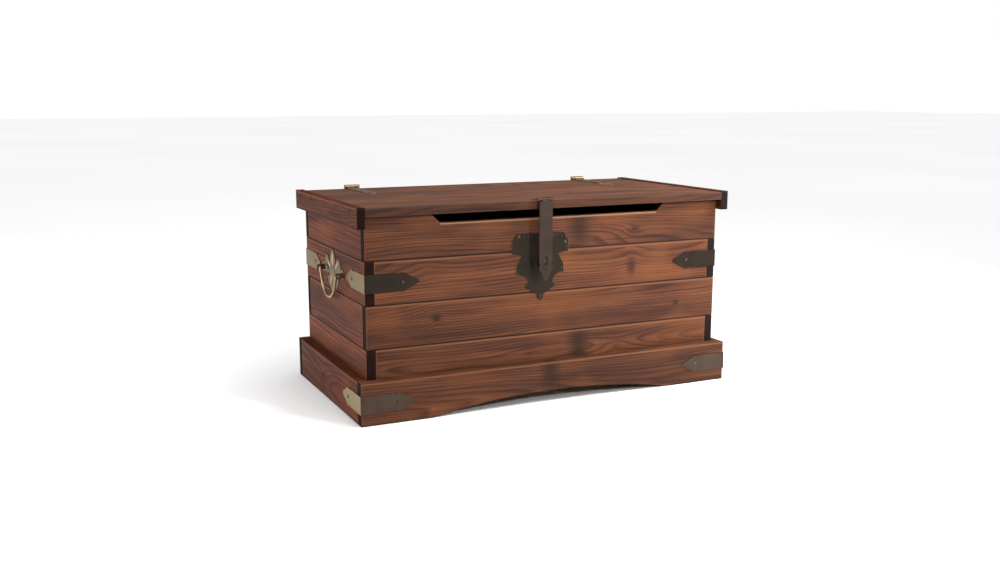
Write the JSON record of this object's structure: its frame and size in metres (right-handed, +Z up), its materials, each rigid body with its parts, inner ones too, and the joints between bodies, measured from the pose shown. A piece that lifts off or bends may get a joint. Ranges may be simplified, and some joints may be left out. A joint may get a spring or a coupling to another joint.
{
  "type": "storage chest",
  "caption": "Lidded storage chest of lapped boards on an arched plinth, with a hinged cleated lid, hasp and staple, drop handles and spear-ended corner brackets.",
  "frame": {"origin": "on the floor, under the middle of the chest", "axes": "+X along the length to the right, +Y from front to back, +Z up"},
  "size_m": [0.9206, 0.4883, 0.462],
  "materials": {
    "stained_pine": "dark reddish brown stain, worn lighter at the edges",
    "plain_pine": "unfinished softwood and plywood",
    "bronzed_iron": "dark bronze lacquer on sheet iron",
    "brass": "antiqued brass",
    "steel": "plain steel wire",
    "dark_nail": "blackened nails"
  },
  "bodies": {
    "case": {"back_board_1": "stained_pine", "back_board_2": "stained_pine", "back_board_3": "stained_pine", "back_board_4": "stained_pine", "bracket_back_left": "bronzed_iron", "bracket_back_right": "bronzed_iron", "bracket_front_left": "bronzed_iron", "bracket_front_right": "bronzed_iron", "bracket_nails": "steel", "corner_nails": "dark_nail", "floor_bearer_left": "plain_pine", "floor_bearer_middle": "plain_pine", "floor_bearer_right": "plain_pine", "floor_panel": "plain_pine", "front_board_1": "stained_pine", "front_board_2": "stained_pine", "front_board_3": "stained_pine", "front_board_4": "stained_pine", "handle_nails": "brass", "handle_plate_left": "brass", "handle_plate_right": "brass", "hasp_plate": "bronzed_iron", "hasp_plate_nails": "brass", "hasp_staple": "steel", "hinge_leaf_left": "bronzed_iron", "hinge_leaf_nails": "dark_nail", "hinge_leaf_right": "bronzed_iron", "hinge_pins": "steel", "left_board_1": "stained_pine", "left_board_2": "stained_pine", "left_board_3": "stained_pine", "left_board_4": "stained_pine", "plinth_back": "stained_pine", "plinth_bracket_left": "bronzed_iron", "plinth_bracket_right": "bronzed_iron", "plinth_front": "stained_pine", "plinth_left": "stained_pine", "plinth_right": "stained_pine", "right_board_1": "stained_pine", "right_board_2": "stained_pine", "right_board_3": "stained_pine", "right_board_4": "stained_pine"},
    "lid": {"cleat_nails": "dark_nail", "hasp_leaf": "bronzed_iron", "hasp_leaf_nails": "brass", "hasp_pin": "steel", "hinge_strap_left": "brass", "hinge_strap_nails": "brass", "hinge_strap_right": "brass", "lid_board_1": "stained_pine", "lid_board_2": "stained_pine", "lid_board_3": "stained_pine", "lid_board_4": "stained_pine", "lid_board_5": "stained_pine", "lid_cleat_left": "stained_pine", "lid_cleat_right": "stained_pine"},
    "hasp": {"hasp_strap": "bronzed_iron"},
    "handle_left": {"bail_left": "brass"},
    "handle_right": {"bail_right": "brass"}
  },
  "joints": [
    {"name": "lid_hinge", "type": "hinge", "parent": "case", "child": "lid", "pos_m": [0, 0.2343, 0.4575], "axis": [-1, 0, 0], "range_deg": [0, 110]},
    {"name": "hasp_swing", "type": "hinge", "parent": "lid", "child": "hasp", "pos_m": [-0.032, -0.2433, 0.457], "axis": [-1, 0, 0], "range_deg": [-6, 240]},
    {"name": "left_bail_swing", "type": "hinge", "parent": "case", "child": "handle_left", "pos_m": [-0.4486, 0, 0.292], "axis": [0, 1, 0], "range_deg": [-6, 175]},
    {"name": "right_bail_swing", "type": "hinge", "parent": "case", "child": "handle_right", "pos_m": [0.4486, 0, 0.292], "axis": [0, -1, 0], "range_deg": [-6, 175]}
  ]
}
